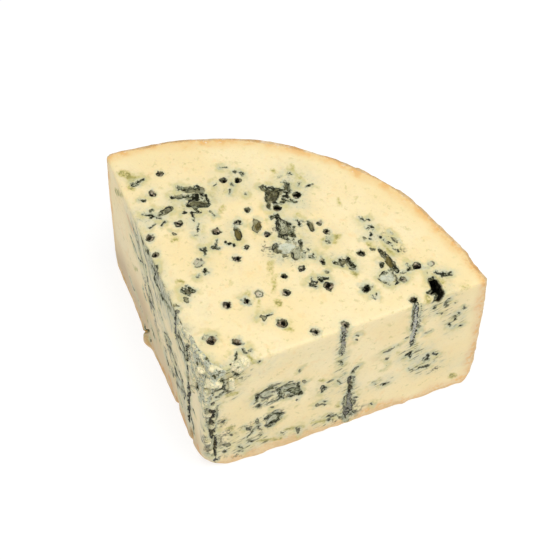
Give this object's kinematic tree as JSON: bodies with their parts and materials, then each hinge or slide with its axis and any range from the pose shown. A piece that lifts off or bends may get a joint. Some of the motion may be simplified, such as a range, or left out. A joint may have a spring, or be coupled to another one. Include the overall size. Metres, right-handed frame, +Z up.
{
  "type": "blue cheese wedge",
  "caption": "Tall wedge of pale blue cheese cut from a wheel: flat base and top, curved rind, needle holes, mould pockets and a crumbled point.",
  "frame": {"origin": "middle of the bottom of the wedge's box, on the surface it rests on", "axes": "+Z up along the wheel's axis, -Y towards the wedge's point, +Y towards the curved rind, +X to the right along the chord of the rind"},
  "size_m": [0.2062, 0.1504, 0.0873],
  "materials": {
    "cheese_paste": "soft, slightly moist"
  },
  "bodies": {
    "root": {"cheese_wedge": "cheese_paste"}
  },
  "joints": []
}
